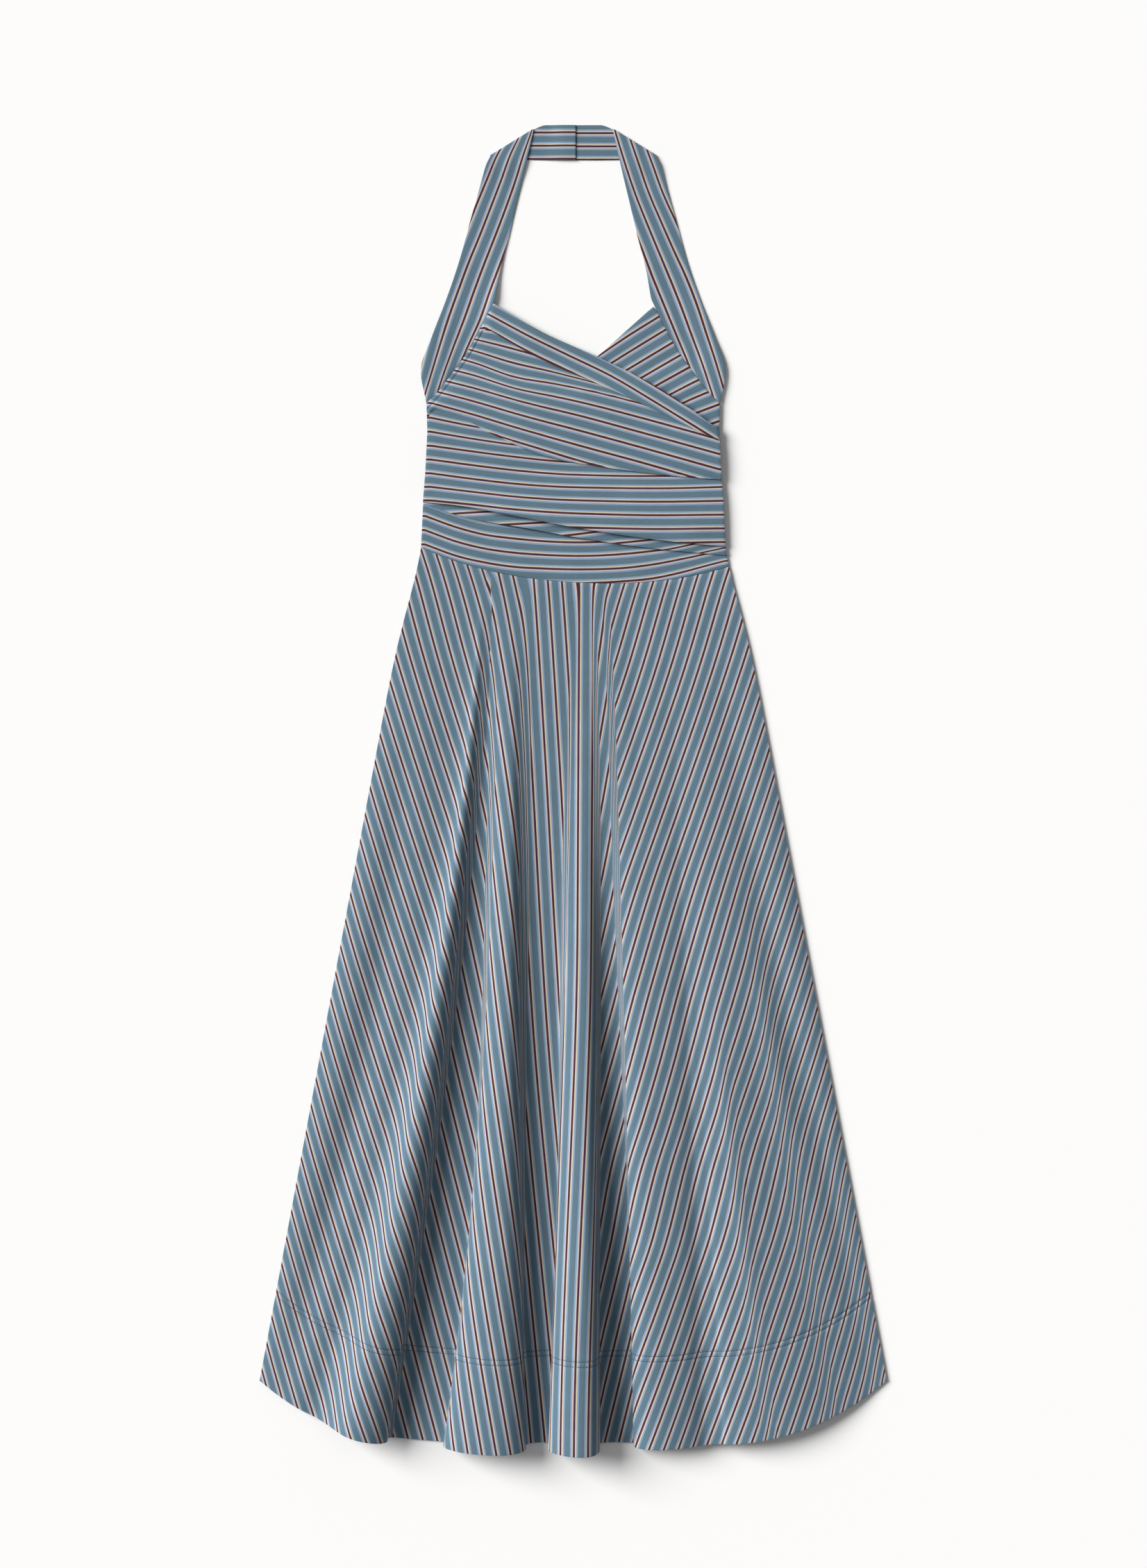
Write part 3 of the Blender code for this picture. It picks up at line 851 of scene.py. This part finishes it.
def fold_knots(fold, down):
    """Points of one fold at this share of the way down: foot, edge, crest, edge and foot."""
    left = fold.left + (fold.left_hem - fold.left) * down ** fold.left_bend
    right = fold.right + (fold.right_hem - fold.right) * down ** fold.right_bend
    rise = fold.height * ease(down, FOLD_START, 1) ** fold.rise
    tucked = ease(down, TUCK_START, 1)
    left_run = RUN_AT_WAIST + (fold.left_run - RUN_AT_WAIST) * tucked
    right_run = RUN_AT_WAIST + (fold.right_run - RUN_AT_WAIST) * tucked
    crest = left + fold.crest * (right - left)
    way_in, shoulder = SHOULDER
    return [
        (left - left_run, fold.left_foot * rise),
        (left, (fold.left_foot + EDGE_HEIGHT * (1 - fold.left_foot)) * rise),
        (left + way_in * (crest - left), shoulder * rise),
        (crest, CREST_HEIGHT * rise),
        (right - way_in * (right - crest), shoulder * rise),
        (right, (fold.right_foot + EDGE_HEIGHT * (1 - fold.right_foot)) * rise),
        (right + right_run, fold.right_foot * rise),
    ]


# %% Cross-sections
def skirt_line(share, down):
    """The y of the skirt's front at a share of its width and a share of the way down."""
    return (waist_line(share) - SEAM) * (1 - down) + hem_line(share) * down


def share_at(x, down):
    """The share of the skirt's width at which x lies."""
    share = 0.5 + 0 * x
    for _ in range(6):
        share = np.clip(0.5 + 0.5 * x / half_width(skirt_line(share, down)), 0, 1)
    return share


def skirt_knots(down):
    """Knots of the cross-section at this share of the way down, with each span's steps.

    A span is hidden where the cloth goes down under a fold.
    """
    left = -float(half_width(skirt_line(0.0, down)))
    right = float(half_width(skirt_line(1.0, down)))
    folds = [fold_knots(fold, down) for fold in FOLDS]
    first, last = folds[0][0][0], folds[-1][-1][0]
    wave = ease(down, 0.0, 0.5)
    knots = [(left + (first - left) * share, wave * (high + (low - high) * down))
             for share, high, low in LEFT_WAVES]
    spans = [(WAVE_STEPS, False)] * len(knots)
    for fold, points, following in zip(FOLDS, folds, folds[1:] + [None]):
        knots += points
        spans += [(FOLD_STEPS, fold.left_run < 0)] + [(FOLD_STEPS, False)] * 4
        spans += [(FOLD_STEPS, fold.right_run < 0)]
        if following:
            foot, edge = following[:2]
            under_edge_x = min(edge[0] - FLOOR_REACH, foot[0] - FLOOR_LENGTH)
            knots.append((max(under_edge_x, (points[-1][0] + foot[0]) / 2), foot[1]))
            spans += [(FOLD_STEPS, False)] * 2
    knots += [(right - (right - last) * share, wave * (high + (low - high) * down))
              for share, high, low in RIGHT_WAVES]
    spans += [(WAVE_STEPS, False)] * len(RIGHT_WAVES)
    return np.array(knots), spans


def spline(knots, spans):
    """A smooth uniform B-spline through the section, and which of its steps are hidden."""
    first, last = 2 * knots[0] - knots[1], 2 * knots[-1] - knots[-2]
    line = np.vstack([first, knots, last])
    points, hidden = [], []
    for i, (steps, is_hidden) in enumerate(spans):
        for t in np.arange(steps) / steps:
            weights = ((1 - t) ** 3, 3 * t**3 - 6 * t**2 + 4, 3 * (t + t * t - t**3) + 1, t**3)
            points.append(sum(w * p for w, p in zip(weights, line[i:i + 4])) / 6)
            hidden.append(is_hidden)
    points.append(knots[-1])
    return np.array(points), np.array(hidden)


# %% [markdown]
# ## The skirt's cut
# The cut piece is a sector: the waist edge is an arc of a small circle and the hem an arc of a
# large one. A point's stripe number is its distance from the centre line, so it comes from its
# radius and its angle. The cloth that the folds hide takes up the width that can't be seen.

# %% Place in the cut
CUT_HALF_ANGLE = 0.535
CUT_INNER = 288
CUT_LENGTH = 911
CREST_AT_WAIST = 7.7
CREST_SHIFT = 15.5
# Lines along which the cloth is drawn together, and how much more cloth lies there
Bunch = namedtuple("Bunch", "x_high y_high x_low y_low width more")
BUNCHES = (
    Bunch(176, -60, 266, -594, 10, 0.6),
    Bunch(146, -200, 205, -640, 9, 0.6),
    Bunch(262, -330, 318, -620, 13, 0.5),
)


def bunched(x, y):
    """How much more cloth lies at x and y than its shape takes."""
    more = 1 + 0 * x
    for bunch in BUNCHES:
        down = (y - bunch.y_high) / (bunch.y_low - bunch.y_high)
        middle = bunch.x_high + (bunch.x_low - bunch.x_high) * down
        more += bunch.more * ease(down, 0, 0.4) * np.exp(-((x - middle) / bunch.width) ** 2)
    return more


def skirt_cut(section, heights, hidden, down, crest):
    """Stripe numbers across one row of the skirt, and places along the stripes."""
    radius = CUT_INNER + CUT_LENGTH * down
    from_centre = CREST_AT_WAIST + CREST_SHIFT * ease(down, 0.4, 1.0)
    steps = np.linalg.norm(np.diff(section, axis=0), axis=1)
    steps *= bunched(section[1:, 0], heights[1:])
    for part, wanted in ((slice(0, crest), CUT_HALF_ANGLE * radius + from_centre),
                         (slice(crest, None), CUT_HALF_ANGLE * radius - from_centre)):
        seen = steps[part][~hidden[part]].sum()
        tucked = steps[part][hidden[part]].sum()
        steps[part] *= np.where(hidden[part], max((wanted - seen) / tucked, 0.3), 1)
    arc = np.append(0, np.cumsum(steps))
    angle = (arc - arc[crest] + from_centre) / radius
    return np.stack([radius * np.sin(angle), -radius * np.cos(angle)], axis=1) / REPEAT


# %% [markdown]
# ## Skirt: rows from waist to hem
# The rows are close together near the waist seam, where the cloth puckers, and near the two rows
# of stitches that hold the hem, where it dips.

# %% Skirt rows
HEM_STITCHES = (0.8915, 0.8978)
SKIRT_ROWS = 92
SKIRT_CREASES = (
    Crease(-172, 60, -308, -640, 20, 18, -6.5),
    Crease(-150, 120, -250, -440, 6, 14, 1.2),
    Crease(150, -240, 208, -650, -4, 9, 2.0),
    Crease(192, -168, 246, -420, -5, 10, 2.0),
    Crease(176, -190, 230, -520, -5, 12, -1.4),
    Crease(236, -300, 286, -600, -4, 14, 1.5),
    Crease(-40, 190, -46, -300, 3, 10, -0.9),
    Crease(56, 190, 70, -40, 3, 8, -0.7),
)
GATHER_HEIGHT = 0.35

downs = np.unique(np.concatenate([
    np.linspace(0, 1, SKIRT_ROWS + 1),
    np.linspace(0, 0.03, 9),
    np.array(HEM_STITCHES).mean() + np.linspace(-0.008, 0.008, 13),
    np.linspace(0.99, 1, 6),
]))
centre_crest = len(LEFT_WAVES) + KNOTS_A_FOLD * CENTRE_FOLD + CREST_KNOT
skirt, places = [], []
for down in downs:
    knots, spans = skirt_knots(down)
    section, hidden = spline(knots, spans)
    share = share_at(section[:, 0], down)
    tallest = section[:, 1].max() + 1
    inside = (1 - np.abs(2 * share - 1)) ** 0.5
    lift = VALLEY_LIFT * down**3 * (1 - section[:, 1] / tallest) * inside
    skirt.append(np.stack([section[:, 0], skirt_line(share, down) + lift,
                           FLOOR_LEVEL + LAYER + section[:, 1]], axis=1))
    before = sum(steps for steps, _ in spans[:centre_crest])
    places.append(skirt_cut(section, skirt[-1][:, 1], hidden, down, before))
skirt = creased(np.array(skirt), SKIRT_CREASES)
print("skirt grid", skirt.shape, "with", int(hidden.sum()), "hidden columns")

# %% Skirt front
pucker = np.sin(np.array(places)[..., 0] * 2 * math.pi * 0.62) * np.sin(skirt[..., 0] * 0.11 + 1)
skirt[..., 2] += GATHER_HEIGHT * pucker * (np.exp(-downs * 30) * (1 - np.exp(-downs * 400)))[:, None]
for stitch in HEM_STITCHES:
    dip = np.exp(-((downs - stitch) / 0.0016) ** 2)[:, None]
    skirt[..., 2] -= dip * (0.5 + 0.15 * np.sin(np.array(places)[..., 0] * 14))
skirt = rolled(skirt, top=0.4)
skirt_piece = lay_cloth("skirt_front_cloth", "skirt_front", skirt,
                        [[above, below] for above, below in zip(places, places[1:])])
print("skirt", round(quad_area(skirt), 4), "square metres,",
      sum(len(face.vertices) - 2 for face in skirt_piece.data.polygons), "triangles")

# %% [markdown]
# ## Stitches
# The hem is held by two rows of machine stitches. One stitch is modelled as a small pointed loop
# of thread, and copies of it are laid along a row on the cloth's front, each turned along the
# seam.

# %% Thread
STITCH_LENGTH = 2.5
STITCH_EVERY = 2.8
THREAD = 0.75


def thread_and_groove_shade_finish():
    """Twisted sewing thread, darker than the ground: its own dark blue, with painted shade of the stitched
    groove it lies in.
    """
    material = bpy.data.materials.new("sewing_thread_and_groove_shade")
    material.use_nodes = True
    tree = material.node_tree
    surface = tree.nodes["Principled BSDF"]
    surface.inputs["Roughness"].default_value = 0.65
    spot = tree.nodes.new("ShaderNodeTexCoord")
    twist = node(tree, "TexNoise", Scale=900.0, Detail=2.0)
    tree.links.new(spot.outputs["Object"], twist.inputs["Vector"])
    ramp = tree.nodes.new("ShaderNodeValToRGB")
    # These dyes are darker than the thread itself: they also paint the shade of the stitched groove.
    ramp.color_ramp.elements[0].color = dye(30, 54, 78)
    ramp.color_ramp.elements[1].color = dye(56, 84, 108)
    tree.links.new(twist.outputs["Fac"], ramp.inputs["Fac"])
    tree.links.new(ramp.outputs["Color"], surface.inputs["Base Color"])
    return material


# The stitches' material holds the thread's own colour and painted shade of the hem's groove.
thread_and_groove_shade = thread_and_groove_shade_finish()


# %% One row of stitches
def one_stitch():
    """The corners and faces of a single stitch, from a small squashed sphere."""
    bpy.ops.object.select_all(action="DESELECT")
    bpy.ops.mesh.primitive_uv_sphere_add(segments=6, ring_count=4, radius=0.5)
    ball = bpy.context.object
    corners = np.array([tuple(v.co) for v in ball.data.vertices])
    faces = [tuple(face.vertices) for face in ball.data.polygons]
    bpy.data.objects.remove(ball)
    corners = corners[:, (2, 1, 0)] * (-1, 1, 1) * (STITCH_LENGTH, THREAD, THREAD)
    return corners, faces


def stitch_rows(name, paths):
    """Stitches laid along paths of points, each with its normals, joined into one mesh."""
    corners, faces = one_stitch()
    made, walls = [], []
    for path, normals in paths:
        steps = np.linalg.norm(np.diff(path, axis=0), axis=1)
        arc = np.append(0, np.cumsum(steps))
        for at in np.arange(STITCH_EVERY / 2, arc[-1], STITCH_EVERY):
            middle = np.array([np.interp(at, arc, path[:, axis]) for axis in range(3)])
            up = np.array([np.interp(at, arc, normals[:, axis]) for axis in range(3)])
            ahead = np.array([np.interp(at + 0.5, arc, path[:, axis]) for axis in range(3)]) - middle
            ahead /= np.linalg.norm(ahead) + 1e-9
            aside = np.cross(up, ahead)
            aside /= np.linalg.norm(aside) + 1e-9
            up = np.cross(ahead, aside)
            base = middle + up * (WALL / 2 + 0.05)
            first = sum(len(part) for part in made)
            made.append(base + corners @ np.array([ahead, aside, up]))
            walls += [tuple(first + i for i in face) for face in faces]
    mesh = bpy.data.meshes.new(name)
    mesh.from_pydata((np.concatenate(made) * MM).tolist(), [], walls)
    mesh.shade_smooth()
    mesh.materials.append(thread_and_groove_shade)
    piece = bpy.data.objects.new(name, mesh)
    bpy.context.scene.collection.objects.link(piece)
    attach(piece, "root")
    print(name, "has", len(made), "stitches")
    return piece


def normals_of(points):
    """Unit normals of a grid of points, upwards."""
    down = np.gradient(points, axis=0)
    right = np.gradient(points, axis=1)
    normal = np.cross(down, right)
    return normal / (np.linalg.norm(normal, axis=2, keepdims=True) + 1e-9)


skirt_normals = normals_of(skirt)
rows = [int(np.abs(downs - stitch).argmin()) for stitch in HEM_STITCHES]
hem_piece = stitch_rows("hem_stitches", [(skirt[row, 2:-2], skirt_normals[row, 2:-2]) for row in rows])

# %% [markdown]
# ## Floor, light and camera
# A white floor and soft light from the left show the folds the way a studio does. The key light
# is low, so that the slopes that face it are bright and those that turn away are dark. The
# camera looks straight down on the dress.

# %% Floor
bpy.ops.object.select_all(action="DESELECT")
bpy.ops.mesh.primitive_plane_add(size=12, location=(0, 0, -0.0004))
floor = bpy.context.object
floor.name = ON_FLOOR
paper = bpy.data.materials.new("floor")
paper.use_nodes = True
paper.node_tree.nodes["Principled BSDF"].inputs["Base Color"].default_value = (0.93, 0.93, 0.93, 1)
paper.node_tree.nodes["Principled BSDF"].inputs["Roughness"].default_value = 0.9
floor.data.materials.append(paper)

# %% Light
SUN_STRENGTH = 4.9
SUN_ELEVATION = 31
SUN_FROM = 156
SKY = 0.25

world = bpy.data.worlds.new("studio")
world.use_nodes = True
world.node_tree.nodes["Background"].inputs["Color"].default_value = (1.0, 1.0, 1.0, 1)
world.node_tree.nodes["Background"].inputs["Strength"].default_value = SKY
bpy.context.scene.world = world
bpy.ops.object.light_add(type="SUN")
key = bpy.context.object
key.name = "key_light"
key.data.energy = SUN_STRENGTH
key.data.angle = math.radians(34)
key.data.color = (1.0, 0.99, 0.975)
key.rotation_euler = (0, math.radians(90 - SUN_ELEVATION), math.radians(SUN_FROM))
bpy.context.scene.view_settings.view_transform = "Standard"

# %% Camera
CAMERA_HEIGHT = 3.894
CAMERA_X = 0.0003
CAMERA_Y = 0.0047
bpy.ops.object.camera_add(location=(CAMERA_X, CAMERA_Y, CAMERA_HEIGHT), rotation=(0, 0, 0))
camera = bpy.context.object
camera.name = "camera"
camera.data.lens = 85
camera.data.sensor_width = 36
bpy.context.scene.camera = camera
print("camera", CAMERA_HEIGHT, "m above the floor")
